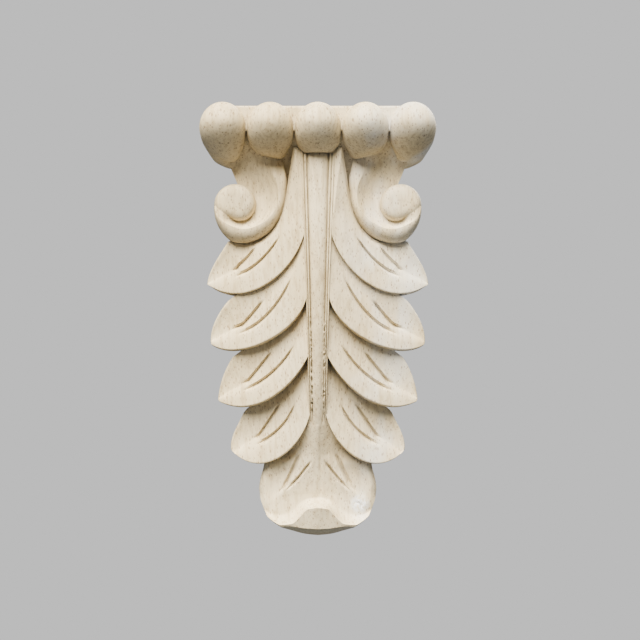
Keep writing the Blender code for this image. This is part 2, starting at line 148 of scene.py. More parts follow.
# Volutes: radii and depths against the angle round the eye in degrees
EYE = (26.6, 38.1)
EYE_RADIUS = ((-180.0, 6.7), (-150.0, 6.1), (-125.0, 5.1), (-108.0, 4.8), (-90.0, 5.2), (-60.0, 6.0),
              (-30.0, 6.5), (0.0, 6.7), (180.0, 6.7))
EYE_PROFILE = ((0.0, 18.0), (0.5, 17.9), (0.7, 17.6), (0.82, 17.2), (0.9, 16.6), (0.96, 15.6),
               (1.0, 14.0))
SCROLL_START = 27.0
SCROLL_END = -176.0
SCROLL_INNER = 3.4
WALL_DEPTH = 13.4
CREST_RADIUS = ((49.0, 17.6), (24.6, 14.9), (5.8, 14.1), (-15.6, 12.4), (-42.0, 10.1), (-68.0, 8.6),
                (-97.0, 7.1), (-125.0, 6.6), (-180.0, 6.2))
WALL_RADIUS = ((45.0, 21.6), (22.7, 18.1), (1.9, 16.2), (-20.8, 15.0), (-47.9, 13.7), (-70.0, 12.8),
               (-97.5, 11.6), (-112.0, 10.1), (-135.0, 8.3), (-160.0, 7.1), (-180.0, 6.7))
SCROLL_CHANNEL = ((27.0, 12.2), (-10.0, 13.8), (-60.0, 14.6), (-90.0, 15.2), (-110.0, 16.4),
                  (-132.0, 17.4), (-176.0, 17.2))
SCROLL_CREST = ((27.0, 16.4), (-10.0, 17.6), (-60.0, 17.8), (-110.0, 17.9), (-140.0, 17.4),
                (-176.0, 16.3))

# Band from the beads down to the volute: inner edge, crest, outer wall, depth of hollow and crest
SHEET_HEAD = (
    ((29.4, 62.6), (16.0, 62.8), (11.6, 63.0), 20.6, 20.7),
    ((29.4, 58.6), (16.0, 58.8), (11.6, 59.6), 17.0, 17.5),
    ((29.4, 54.4), (16.0, 54.6), (11.6, 56.0), 13.7, 14.9),
    ((28.6, 51.6), (15.4, 51.8), (11.4, 53.4), 12.4, 14.2),
    ((27.0, 47.5), (14.6, 48.4), (10.8, 50.0), 11.8, 15.2),
)

# Bottom lobe: outline and veins, then scoop, crest, foot of the lips and rim of the rolled tip
TAIL_RIM = ((0.0, -70.0), (5.1, -69.3), (8.8, -67.8), (11.2, -66.4), (13.3, -65.1), (15.0, -63.8),
            (16.4, -62.3), (17.6, -60.0), (18.7, -57.0), (19.1, -53.8))
TAIL_SIDE = ((-44.0, 17.2), (-47.6, 17.9), (-50.5, 18.7), (-53.8, 19.1), (-57.0, 18.7))
TAIL_LONG = ((2.1, -44.5), (4.1, -47.4), (6.9, -50.9), (9.8, -53.8))
TAIL_SHORT = ((5.7, -41.8), (7.2, -45.2), (9.0, -49.6), (11.5, -54.3))
TAIL_VEIN_WIDTH = 0.9
TAIL_VEIN_DEPTH = 1.4
ROLL_FOOT = ((0.0, -56.5), (2.0, -56.6), (5.0, -57.5), (7.0, -59.2), (9.0, -60.8), (11.5, -61.8),
             (14.0, -61.8), (16.0, -61.3), (17.7, -60.5))
ROLL_CREST = ((0.0, -59.1), (1.5, -59.25), (3.5, -59.8), (5.0, -61.4), (6.5, -63.1), (8.0, -64.4),
              (10.0, -64.8), (12.0, -64.9), (17.7, -64.9))
LENS_FOOT = ((0.0, -66.1), (4.0, -65.95), (7.0, -65.6), (9.0, -65.4), (12.0, -65.5), (17.7, -65.5))
SCOOP_HALF = 17.7
CREST_HALF = 16.6
FOOT_HALF = 16.3
RIM_HALF = 15.9
LIP_SPREAD = 9.0
SCOOP_DEPTH = 10.0
ROLL_DEPTH = 15.6
LENS_FOOT_DEPTH = 14.0
LIP_DEPTH = 13.2
UNDER_SLOPE = 3.0

# Unevenness of the finish: height of its slow and quick waves, and depth at which it is full
SLOW_WAVE = 0.16
QUICK_WAVE = 0.06
FULL_WAVE = 8.0

# Angle in degrees from which an edge stays crisp
CRISP_ANGLE = 38

# Tilt of the wood's grain towards the front in degrees
GRAIN_DIP = 16.0

# Middle of the pale knot in metres, and its reach in millimetres
KNOT = (0.0136, -0.0103, -0.0586)
KNOT_REACH = 3.4

# Floor, height of the main light over the horizon, and camera straight in front
FLOOR_RADIUS = 0.9
FLOOR_PLACE = (0.0, 1.0, -1.3)
KEY_RISE = math.radians(56)
LENS = 72.77
LENS_SHIFT = 0.0034
CAMERA_PLACE = (0.0, -0.430, 0.00113)


def along(table, values):
    """Smooth curve through (position, value) pairs."""
    rows = sorted(table)
    px = np.array([row[0] for row in rows], float)
    py = np.array([row[1] for row in rows], float)
    low = np.maximum(np.arange(len(px)) - 1, 0)
    high = np.minimum(np.arange(len(px)) + 1, len(px) - 1)
    slopes = (py[high] - py[low]) / (px[high] - px[low])
    v = np.clip(np.asarray(values, float), px[0], px[-1])
    i = np.clip(np.searchsorted(px, v) - 1, 0, len(px) - 2)
    span = px[i + 1] - px[i]
    t = (v - px[i]) / span
    return (py[i] * (1 + 2 * t) * (1 - t) ** 2 + slopes[i] * span * t * (1 - t) ** 2
            + py[i + 1] * t * t * (3 - 2 * t) - slopes[i + 1] * span * t * t * (1 - t))


def ease(value):
    """Smooth step from 0 to 1."""
    value = np.clip(value, 0.0, 1.0)
    return value * value * (3 - 2 * value)


def spread(start, end, count):
    """Even places between two columns of values, without the ends."""
    return start + (end - start) * np.linspace(0, 1, count + 1)[None, 1:-1]


def bezier(points, t):
    """Points along a curve given by its two ends and two handles."""
    a, b, c, d = (np.array(p, float) for p in points)
    t = np.asarray(t, float)[..., None]
    u = 1 - t
    return u ** 3 * a + 3 * u * u * t * b + 3 * u * t * t * c + t ** 3 * d


def add_object(name, verts, faces, collection):
    """Object of triangles that all face outwards."""
    data = bpy.data.meshes.new(name)
    data.from_pydata(verts, [], faces)
    mesh = bmesh.new()
    mesh.from_mesh(data)
    bmesh.ops.recalc_face_normals(mesh, faces=mesh.faces)
    bmesh.ops.triangulate(mesh, faces=mesh.faces)
    mesh.to_mesh(data)
    mesh.free()
    thing = bpy.data.objects.new(name, data)
    collection.objects.link(thing)
    return thing


def sheet(name, x, z, depth, collection, side=1):
    """Closed solid: a front sheet over a grid of points, run straight back."""
    rows, columns = x.shape
    run = BACK_RUN - BACK_STAGGER * len(collection.objects)
    front = np.stack((side * x, -depth, z), axis=-1).reshape(-1, 3) * MM
    back = np.stack((side * x, np.full_like(x, -run), z), axis=-1).reshape(-1, 3) * MM
    index = np.arange(rows * columns).reshape(rows, columns)
    faces = np.stack((index[:-1, :-1], index[1:, :-1], index[1:, 1:], index[:-1, 1:]), axis=-1)
    faces = faces.reshape(-1, 4)
    rim = list(index[0, :-1]) + list(index[:-1, -1]) + list(index[-1, :0:-1]) + list(index[:0:-1, 0])
    far = rows * columns
    walls = [(a, b, b + far, a + far) for a, b in zip(rim, rim[1:] + rim[:1])]
    faces = faces.tolist() + (faces[:, ::-1] + far).tolist() + walls
    return add_object(name, np.concatenate((front, back)).tolist(), faces, collection)


def block(name, sizes, collection, bevel=BLOCK_BEVEL):
    """Plain block with a small round along its front edges."""
    half, foot, top, depth = sizes
    x = np.array([-half, -half + bevel * 0.3, -half + bevel, half - bevel, half - bevel * 0.3, half])
    z = np.array([foot, foot + bevel * 0.3, foot + bevel, top - bevel, top - bevel * 0.3, top])
    fall = np.array([bevel, bevel * 0.3, 0.0, 0.0, bevel * 0.3, bevel])
    grid_x, grid_z = np.meshgrid(x, z)
    return sheet(name, grid_x, grid_z, depth - np.maximum(fall[None, :], fall[:, None]), collection)


def dome(name, outline, depths, collection):
    """Closed solid from rings of (x, z) points around a middle, each ring with its depths."""
    run = BACK_RUN - BACK_STAGGER * len(collection.objects)
    segments = outline.shape[1]
    points = np.concatenate((outline, outline[-1:]))
    depths = np.concatenate((depths, np.full((1, segments), run)))
    verts = np.stack((points[..., 0], -depths, points[..., 1]), axis=-1) * MM
    verts = np.concatenate((verts[:1, :1].reshape(1, 3), verts[1:].reshape(-1, 3)))
    ring = 1 + np.arange(len(points) - 1)[:, None] * segments + np.arange(segments)[None, :]
    following = np.roll(ring, -1, axis=1)
    faces = [(0, a, b) for a, b in zip(ring[0].tolist(), following[0].tolist())]
    quads = np.stack((ring[:-1], ring[1:], following[1:], following[:-1]), axis=-1)
    faces += quads.reshape(-1, 4).tolist()
    faces.append(ring[-1].tolist())
    return add_object(name, verts.tolist(), faces, collection)


def mirrored(floor, side):
    """Lower end of a bead on the given side."""
    level, slope, soft = floor
    return level, slope * side, soft


def bead(name, centre,taper, floor, collection, lean=0.0, sink=0.0):
    """Egg-shaped dome that leans forward, cut off flat below or drawn out towards one side."""
    polar = np.linspace(0, math.pi / 2, 25)[:, None]
    turn = np.linspace(0, math.tau, 73)[None, :-1]
    across, up, out = np.sin(polar) * np.cos(turn), np.sin(polar) * np.sin(turn), np.cos(polar)
    z = TOP - BEAD_UPPER + up * np.where(up > 0, BEAD_UPPER, BEAD_LOWER)
    x = BEAD_RADIUS * across * along(taper, -up) + lean * np.maximum(-up, 0) ** 1.5
    depth = along(BEAD_RIM, z) + BEAD_SWELL * out - sink * np.clip(1 - (z - 50.0) / 14.0, 0, 1) ** 0.5
    level, slope, soft = floor
    gap = z - level - slope * x
    z = z + np.maximum(-gap, 0) + np.maximum(soft - np.abs(gap), 0) ** 2 / (4 * soft)
    return dome(name, np.stack((centre + x, z), axis=-1), depth, collection)


def recess(collection):
    """Floor of the hollows beside the stem, falling back below the beads."""
    x, z = np.meshgrid(np.linspace(-RECESS_HALF, RECESS_HALF, 9), np.arange(64.0, 35.0, -1.0))
    return sheet("recess", x, z, along(RECESS_DEPTH, z), collection)


def crossing(start, end, curve_points, shares):
    """Share of the way from start to end where a curve crosses, and the place along the curve."""
    run = end - start
    offset = curve_points - start
    side = run[0] * offset[:, 1] - run[1] * offset[:, 0]
    hits = np.nonzero(side[:-1] * side[1:] <= 0)[0]
    if not len(hits):
        return None
    k = hits[0]
    mix = side[k] / (side[k] - side[k + 1])
    point = offset[k] + (offset[k + 1] - offset[k]) * mix
    return float(point @ run / (run @ run)), float(shares[k] + (shares[k + 1] - shares[k]) * mix)


def vein_line(points):
    """A vein's curve drawn on straight past both ends."""
    shares = np.linspace(-0.8, 1.6, 200)
    inside = bezier(points, np.clip(shares, 0, 1))
    lead = bezier(points, np.array([0.0, 0.02, 0.98, 1.0]))
    first = (lead[1] - lead[0]) / 0.02
    last = (lead[3] - lead[2]) / 0.02
    inside = inside + np.minimum(shares, 0)[:, None] * first + np.maximum(shares - 1, 0)[:, None] * last
    return shares, inside


def vein_places(low, high, points):
    """Where a vein crosses each station of a lobe, and how far along the vein that is."""
    shares, line = vein_line(points)
    found = [crossing(high[i], low[i], line, shares) for i in range(len(low))]
    good = [i for i, hit in enumerate(found) if hit is not None and 0.05 < hit[0] < 0.97]
    places = np.interp(np.arange(len(low)), good, [found[i][0] for i in good])
    reached = np.interp(np.arange(len(low)), good, [found[i][1] for i in good], left=-1.0, right=2.0)
    for _ in range(3):
        places[1:-1] = (places[:-2] + 2 * places[1:-1] + places[2:]) / 4
    return places, reached


def lobe_upper(index, s):
    """Upper edge: hidden below the form above, then the free outline from the shoulder to the tip."""
    lobe = LOBES[index]
    shoulder = np.array(lobe["outline"][0])
    if index == 0:
        points = ((7.6, 57.4), (10.6, 44.0), (9.2, 22.0), shoulder)
    else:
        above = LOBES[index - 1]["edge"]
        start = np.array(above[0]) + (0.0, 2.2)
        middle = bezier(above, np.array([0.42]))[0]
        points = (start, (start[0] + 4.0, middle[1] + 5.5), shoulder + (-8.0, 6.5), shoulder)
    hidden = bezier(points, np.clip(s / SHOULDER, 0, 1))
    free = bezier(lobe["outline"], np.clip((s - SHOULDER) / (1 - SHOULDER), 0, 1))
    return np.where((s < SHOULDER)[:, None], hidden, free)


def lobe(index, side, collection):
    """Lobe of the leaf: stations from stem to tip, with two V-cut veins across them."""
    data = LOBES[index]
    u = np.linspace(0, 1, LOBE_STATIONS)
    s = u - 0.035 * np.sin(2 * math.pi * u) - 0.02 * np.sin(math.pi * u)
    low = bezier(data["edge"], s)
    high = lobe_upper(index, s)
    low = low + (high - low) / np.linalg.norm(high - low, axis=1)[:, None] * LOBE_INSET
    long_at, long_reach = vein_places(low, high, data["long"])
    short_at, short_reach = vein_places(low, high, data["short"])
    breadth = np.linalg.norm(low - high, axis=1)
    groove = np.minimum(VEIN_WIDTH / breadth, 0.055)
    short_at = np.clip(short_at, 0.12, long_at - 2.6 * groove)
    long_at = np.clip(long_at, 0.3, 0.93)
    root = data["edge"][0]
    reach = np.clip((low[:, 0] - root[0]) / (data["edge"][3][0] - root[0]), 0, None)
    root_depth = float(along(STEM_DEPTH, root[1])) - 1.0
    crest = root_depth + (data["depth"] - root_depth) * reach ** 1.25
    rise = along(LOBE_RISE, s)
    free = ease((s - SHOULDER + 0.06) / 0.14)
    long_open = ease(long_reach / 0.22) * ease((1.02 - long_reach) / 0.26)
    short_open = ease((short_reach + 0.04) / 0.24) * ease((1.04 - short_reach) / 0.26)

    zero, one = np.zeros_like(s), np.ones_like(s)
    short_mid, long_mid, wide = short_at[:, None], long_at[:, None], groove[:, None]
    cut = wide * np.array([-1.0, -0.5, 0.0, 0.4, 0.7, 1.0])[None, :]
    brim = 1 - np.minimum(0.5 / breadth, 0.02)[:, None]
    rim = np.stack((zero, 0.12 / breadth, 0.3 / breadth, 0.6 / breadth), axis=1)
    rim = np.minimum(rim, np.array([0.0, 0.02, 0.04, 0.06]))
    shares = np.concatenate((
        rim, spread(rim[:, -1:], short_mid - wide, 13), short_mid + cut,
        spread(short_mid + wide, long_mid - wide, 7), long_mid + cut,
        spread(long_mid + wide, brim, 12), brim,
        1 - np.minimum(0.22 / breadth, 0.008)[:, None], one[:, None]), axis=1)
    depth = np.zeros_like(shares)
    for i in range(len(s)):
        t = shares[i]
        a, b = short_at[i], long_at[i]
        sunk = UPPER_SINK[index] * (1 - free[i])
        table = ((-0.001, 0.72 - 0.08 * free[i] + sunk), (a * 0.45, 0.74 + sunk / 2), (a, 0.64),
                 ((a + b) / 2, 0.48), (b, 0.34), ((1 + 2 * b) / 3, 0.18), (1.0, 0.0))
        depth[i] = crest[i] - rise[i] * along(table, t)
        for at, opened in ((a, short_open[i]), (b, long_open[i])):
            half_cut = groove[i] * (0.45 + 0.55 * opened)
            depth[i] -= VEIN_DEPTH * opened * np.interp(t, (at - half_cut, at, at + half_cut), (0, 1, 0))
        away = t * breadth[i]
        depth[i] -= free[i] * 0.55 * np.clip(1 - away / 0.5, 0, 1) ** 2
        depth[i] -= 0.14 * np.clip(1 - (1 - t) * breadth[i] / 0.3, 0, 1) ** 2
    point = high[:, None, :] + (low - high)[:, None, :] * shares[..., None]
    toward = (low - high) / breadth[:, None]
    for off, drop in LOBE_SKIRT:
        point = np.concatenate((point, (low + toward * off)[:, None, :]), axis=1)
        depth = np.concatenate((depth, (crest - 0.14 - drop)[:, None]), axis=1)
    x, z = point[..., 0].copy(), point[..., 1]
    stem_crest = along(STEM_DEPTH, z)
    if index == 0:
        at_root = along(STEM_DEPTH, root[1])
        depth -= (at_root - np.minimum(stem_crest, at_root)) * 0.62
    depth[0] = np.minimum(depth[0], stem_crest[0] - 2.2)
    x[0] *= 0.4
    if index == 0:
        x[0, :4] = point[0, :4, 0] * 0.95
    return sheet(f"lobe_{index + 1}_{side}", x, z, depth, collection, side)


def stem(collection):
    """Half-round stem with a groove and a ridge each side, its lower grooves a little torn."""
    rounded = np.array([drop for drop, _ in STEM_NOSE])
    drops = np.concatenate((rounded, np.arange(3.5, STEM_TOP - STEM_FOOT, 0.6)))
    z = STEM_TOP - drops
    half = along(STEM_WIDTH, z)
    nose = np.where(drops < rounded[-1], along(STEM_NOSE, drops), 0.0)
    fade = ease((z + 34.0) / 6.0)[:, None]
    fine_f = np.array([f for f, _ in STEM_SECTION])
    fine_d = np.array([d for _, d in STEM_SECTION])
    f = np.concatenate((-fine_f[:0:-1], fine_f))
    d = np.concatenate((fine_d[:0:-1], fine_d))
    x = half[:, None] * (1 - 0.05 * nose[:, None]) * f[None, :]
    crest = along(STEM_DEPTH, z) - nose - 1.2 * ease((-32.5 - z) / 6.0)
    depth = crest[:, None] + d[None, :] * fade - 1.1 * f[None, :] ** 2 * (1 - fade)
    rough = ease((6.0 - z) / 9.0) * ease((z + 32.0) / 6.0)
    for i in range(len(z)):
        for j in range(len(f)):
            closeness = math.exp(-((abs(f[j]) - 0.70) / 0.10) ** 2)
            if closeness * rough[i] > 0.02:
                torn = noise.noise(Vector((abs(x[i, j]) * 1.8, z[i] * 1.9, 8.0 + np.sign(f[j]) * 0.35)))
                depth[i, j] += closeness * rough[i] * (1.3 * torn + 0.4)
    grid_z = np.repeat(z[:, None], len(f), axis=1)
    return sheet("stem", x, grid_z, depth, collection)


def spiral(angle, radius):
    """Point at an angle in degrees and a distance from the middle of the eye."""
    turn = np.radians(angle)
    return np.stack((EYE[0] - radius * np.cos(turn), EYE[1] + radius * np.sin(turn)), axis=-1)


def scroll(side, collection):
    """Concave band that comes down from the beads and winds below the eye."""
    lines = list(SHEET_HEAD)
    for a in np.linspace(SCROLL_START, SCROLL_END, 16):
        radii = (SCROLL_INNER, along(CREST_RADIUS, a), along(WALL_RADIUS, a))
        depths = (float(along(SCROLL_CHANNEL, a)), float(along(SCROLL_CREST, a)))
        lines.append(tuple(spiral(a, radius) for radius in radii) + depths)
    table = np.array([[*row[0], *row[1], *row[2], row[3], row[4]] for row in lines], float)
    place = np.arange(len(table), dtype=float)
    fine = np.linspace(0, len(table) - 1, 112)
    table = np.stack([along(list(zip(place, table[:, k])), fine) for k in range(8)], axis=1)
    inner, crest, wall = table[:, 0:2], table[:, 2:4], table[:, 4:6]
    low, ridge = table[:, 6:7], table[:, 7:8]
    inside = np.array([0, .1, .2, .3, .4, .5, .58, .66, .73, .79, .85, .9, .94, .975, 1.0])
    outside = np.array([.06, .14, .24, .34, .45, .56, .67, .77, .86, .93, .98, 1.0])
    hollow = 0.1 * np.clip(1 - inside / 0.3, 0, 1) + np.clip((inside - 0.35) / 0.65, 0, 1) ** 1.9
    x = inner[:, :1] + (crest - inner)[:, :1] * inside
    z = inner[:, 1:] + (crest - inner)[:, 1:] * inside
    depth = low + (ridge - low) * hollow
    x = np.concatenate((x, crest[:, :1] + (wall - crest)[:, :1] * outside), axis=1)
    z = np.concatenate((z, crest[:, 1:] + (wall - crest)[:, 1:] * outside), axis=1)
    fall = 1 - np.sqrt(np.clip(1 - outside ** 2.2, 0, 1))
    depth = np.concatenate((depth, ridge - (ridge - WALL_DEPTH) * fall), axis=1)
    return sheet(f"scroll_{side}", x, z, depth, collection, side)


def eye(side, collection):
    """Flat-topped boss in the middle of the volute, drawn in where the band winds into it."""
    share = np.array([0.0, 0.15, 0.3, 0.45, 0.56, 0.65, 0.73, 0.79, 0.84, 0.88, 0.92, 0.96, 0.985, 1.0])
    share = share[:, None]
    angle = np.linspace(-180, 180, 73)[None, :-1]
    outline = spiral(angle, along(EYE_RADIUS, angle) * share) * (side, 1.0)
    depth = np.repeat(along(EYE_PROFILE, share), angle.size, axis=1)
    return dome(f"eye_{side}", outline, depth, collection)


def tail_veins(z):
    """Distances of the long and the short tail vein from the middle, drawn on past both ends."""
    places = []
    for points in (TAIL_LONG, TAIL_SHORT):
        line = bezier(points, np.linspace(0, 1, 60))
        first = (line[1, 0] - line[0, 0]) / (line[1, 1] - line[0, 1])
        last = (line[-1, 0] - line[-2, 0]) / (line[-1, 1] - line[-2, 1])
        places.append(np.interp(-z, -line[:, 1], line[:, 0]) + 0.6 * first * np.maximum(z - line[0, 1], 0)
                      + last * np.minimum(z - line[-1, 1], 0))
    at_long = np.maximum(places[0], 1.3)
    return at_long, np.clip(places[1], at_long + 1.9, along(TAIL_SIDE, z) - 3.0)


def tail_depth(x, z, edge):
    """Field of the bottom lobe: proud in the middle, hollowed beside the veins, bevelled at the edge."""
    half = along(TAIL_SIDE, z)
    at_long, at_short = tail_veins(z)
    free = ease((-40.0 - z) / 6.0)
    depth = along(STEM_DEPTH, z) - 1.0 - (1 - free) * 7.0 * (x / half) ** 1.5
    swell = ease((-28.5 - z) / 5.0) * ease((z + 61.0) / 15.0)
    hollow = ease((-36.0 - z) / 8.0) * ease((z + 61.0) / 13.0)
    depth += 1.15 * swell * (1 - ease((x - at_long + 1.0) / 3.6))
    depth += 0.5 * hollow * np.exp(-((x - (at_long + at_short) / 2) / 1.4) ** 2)
    depth -= 0.9 * hollow * np.exp(-((x - (at_short + half) / 2 + 1.0) / 3.6) ** 2)
    for at, top, foot, share in ((at_long, -43.8, -55.2, 1.0), (at_short, -41.4, -55.8, 0.9)):
        opened = ease((top - z) / 3.0) * ease((z - foot) / 4.4)
        half_cut = TAIL_VEIN_WIDTH * (0.45 + 0.55 * opened)
        depth -= TAIL_VEIN_DEPTH * share * opened * np.clip(1 - np.abs(x - at) / half_cut, 0, 1)
    bevel = 1.9 * np.clip(1 - edge / 2.0, 0, 1) ** 1.3 + 0.3 * np.clip(1 - edge / 0.4, 0, 1) ** 2
    return depth - free * bevel


def between(first, second, shares, power=1.0):
    """Rows on the way from one row to the next; a power above 1 makes the depth lag behind."""
    for q in shares:
        yield (first[0] + (second[0] - first[0]) * q, first[1] + (second[1] - first[1]) * q,
               first[2] + (second[2] - first[2]) * q ** power)


def tail(collection):
    """Bottom lobe: a scoop with two veins each side, then the tip rolled forward between two lips."""
    z_rows = np.concatenate((np.arange(-29.0, -40.0, -0.6), np.arange(-40.0, -54.5, -0.42)))[:, None]
    half = along(TAIL_SIDE, z_rows)
    at_long, at_short = tail_veins(z_rows)
    cut = np.array([-1.0, -0.5, 0.0, 0.45, 1.0]) * TAIL_VEIN_WIDTH
    x_half = np.concatenate((
        np.zeros_like(half), spread(0.0, at_long - TAIL_VEIN_WIDTH, 10), at_long + cut,
        spread(at_long + TAIL_VEIN_WIDTH, at_short - TAIL_VEIN_WIDTH, 8), at_short + cut,
        spread(at_short + TAIL_VEIN_WIDTH, half, 16), half), axis=1)
    count = x_half.shape[1]
    share = np.arange(count) / (count - 1)
    relax = ease((-50.2 - z_rows) / 3.8)
    x_half = x_half * (1 - relax) + share[None, :] * half * relax
    z_half = np.repeat(z_rows, count, axis=1)
    depth = tail_depth(x_half, z_half, half - x_half)
    rows = [(x_half[i], z_half[i], depth[i]) for i in range(len(z_rows))]

    bulge = 1 - share ** 6
    fall = 2.0 * np.clip((share - 0.72) / 0.28, 0, None) ** 2
    x = share * SCOOP_HALF
    scoop = (x, np.maximum(along(ROLL_FOOT, x), along(TAIL_RIM, x) + 1.3 * bulge),
             SCOOP_DEPTH + 0.6 * share - 0.75 * fall)
    x = share * CREST_HALF
    wave = ease(x / LIP_SPREAD)
    crest = (x, np.maximum(along(ROLL_CREST, x), along(TAIL_RIM, x) + 0.9 * bulge),
             ROLL_DEPTH + (LIP_DEPTH - ROLL_DEPTH) * wave - fall)
    x = share * FOOT_HALF
    foot = (x, np.maximum(along(LENS_FOOT, x), along(TAIL_RIM, x) + 0.5 * bulge),
            LENS_FOOT_DEPTH + (LIP_DEPTH - 0.3 - LENS_FOOT_DEPTH) * wave - fall)
    x = share * RIM_HALF
    edge = along(TAIL_RIM, x)
    rim = (x, edge, foot[2] - UNDER_SLOPE * np.maximum(foot[1] - edge, 0.0) - 0.1)

    last = rows[-1]
    for q in (0.08, 0.16, 0.25, 0.34, 0.43, 0.52, 0.62, 0.72, 0.82, 0.91):
        z = last[1] + (scoop[1] - last[1]) * q
        x = share * along([(-54.2, last[0][-1]), (-57.0, 18.7), (-59.75, SCOOP_HALF)], z[-1])
        field = tail_depth(x, z, x[-1] - x)
        rows.append((x, z, field + (scoop[2] - field) * ease(q)))
    rows.append(scoop)
    rows += between(scoop, crest, (0.1, 0.2, 0.3, 0.4, 0.52, 0.64, 0.76, 0.87, 0.95, 0.985), 1.5)
    rows.append(crest)
    rows += between(crest, foot, (0.03, 0.12, 0.3, 0.5, 0.7, 0.85, 0.95))
    rows.append(foot)
    rows += between(foot, rim, (0.06, 0.16, 0.3, 0.5, 0.75), 1.25)
    rows.append(rim)
    right = [np.stack([row[k] for row in rows]) for k in range(3)]
    x, z, depth = [np.concatenate((grid[:, :0:-1] * (-1 if k == 0 else 1), grid), axis=1)
                   for k, grid in enumerate(right)]
    line = ease((-31.0 - z) / 3.0) * ease((z + 57.5) / 3.0)
    depth -= 0.32 * line * np.exp(-((x - 0.9) / 0.45) ** 2)
    return sheet("tail", x, z, depth, collection)


def carve():
    """All the forms, joined into one closed mesh with a flat back."""
    shapes = bpy.data.collections.new("shapes")
    bpy.context.scene.collection.children.link(shapes)
    first = block("ground", GROUND, shapes)
    block("neck", NECK, shapes)
    block("soffit", SOFFIT, shapes)
    recess(shapes)
    block("slab", SLAB, shapes, SLAB_BEVEL)
    for k in (-1, 0, 1):
        bead(f"bead_{k}", k * BEAD_PITCH, BEAD_TAPER, BEAD_FLOORS[k + 1], shapes)
    stem(shapes)
    for side in (-1, 1):
        centre = side * 2 * BEAD_PITCH
        bead(f"end_bead_{side}", centre, END_TAPER, mirrored(END_FLOOR, side), shapes, -END_LEAN * side)
        bead(f"drop_{side}", centre, DROP_TAPER, mirrored(DROP_FLOOR, side), shapes, 0.0, DROP_BACK)
        for index in range(len(LOBES)):
            lobe(index, side, shapes)
        scroll(side, shapes)
        eye(side, shapes)
    tail(shapes)
    back = bpy.data.objects.new("behind", bpy.data.meshes.new("behind"))
    mesh = bmesh.new()
    bmesh.ops.create_cube(mesh, size=1.0)
    bmesh.ops.scale(mesh, vec=CUT_BOX, verts=mesh.verts)
    bmesh.ops.translate(mesh, vec=(0, CUT_BOX[1] / 2, 0), verts=mesh.verts)
    mesh.to_mesh(back.data)
    mesh.free()
    bpy.context.scene.collection.objects.link(back)
    for thing in [t for t in shapes.objects if t != first] + [back]:
        change = first.modifiers.new("join", "BOOLEAN")
        change.operation = "DIFFERENCE" if thing == back else "UNION"
        change.solver = "MANIFOLD"
        change.object = thing
    bpy.context.view_layer.update()
    result = bpy.data.meshes.new_from_object(first.evaluated_get(bpy.context.evaluated_depsgraph_get()))
    for thing in list(shapes.objects) + [back]:
        bpy.data.objects.remove(thing)
    bpy.data.collections.remove(shapes)
    result.name = "carving"
    carving = bpy.data.objects.new("carving", result)
    bpy.context.scene.collection.objects.link(carving)
    return carving


def fill_flat(mesh, face):
    """Replace a many-sided flat face by triangles that stay inside its outline."""
    ring = list(face.verts)
    seen = max(range(3), key=lambda axis: abs(face.normal[axis]))
    first, second = [axis for axis in range(3) if axis != seen]
    flat = [Vector((vertex.co[first] / MM, vertex.co[second] / MM)) for vertex in ring]
    places, _, corners, origins = delaunay_2d_cdt(flat, [], [list(range(len(ring)))], 1, 1e-6)[:4]
    nearest = [origin[0] if origin else min(range(len(ring)), key=lambda k: (flat[k] - place).length)
               for place, origin in zip(places, origins)]
    normal = face.normal.copy()
    mesh.faces.remove(face)
    for three in corners:
        verts = [ring[nearest[k]] for k in three]
        if len(set(verts)) == 3 and mesh.faces.get(verts) is None:
            turn = (verts[1].co - verts[0].co).cross(verts[2].co - verts[0].co)
            mesh.faces.new(verts if turn.dot(normal) > 0 else verts[::-1])


def settle(carving):
    """Slight unevenness of hand finishing, then smooth faces between crisp edges."""
    data = carving.data
    mesh = bmesh.new()
    mesh.from_mesh(data)
    for vertex in mesh.verts:
        if vertex.co.y < -0.5 * MM:
            p = vertex.co / MM
            slow = noise.noise(Vector((p.x * 0.11 + 7.0, p.z * 0.07, 1.0)))
            quick = noise.noise(Vector((p.x * 0.45, p.z * 0.30 + 3.0, 5.0)))
            share = min(1.0, -p.y / FULL_WAVE)
            vertex.co.y -= (SLOW_WAVE * slow + QUICK_WAVE * quick) * share * MM
            nearby = max(0.0, 1 - (p - Vector(KNOT) / MM).length / KNOT_REACH)
            if nearby:
                vertex.co.y -= nearby * (0.2 + 0.9 * noise.noise(p * 1.3)) * MM
    for face in [f for f in mesh.faces if len(f.verts) > 500]:
        fill_flat(mesh, face)
    bmesh.ops.triangulate(mesh, faces=mesh.faces)
    mesh.to_mesh(data)
    mesh.free()
    data.shade_smooth()
    data.set_sharp_from_angle(angle=math.radians(CRISP_ANGLE))


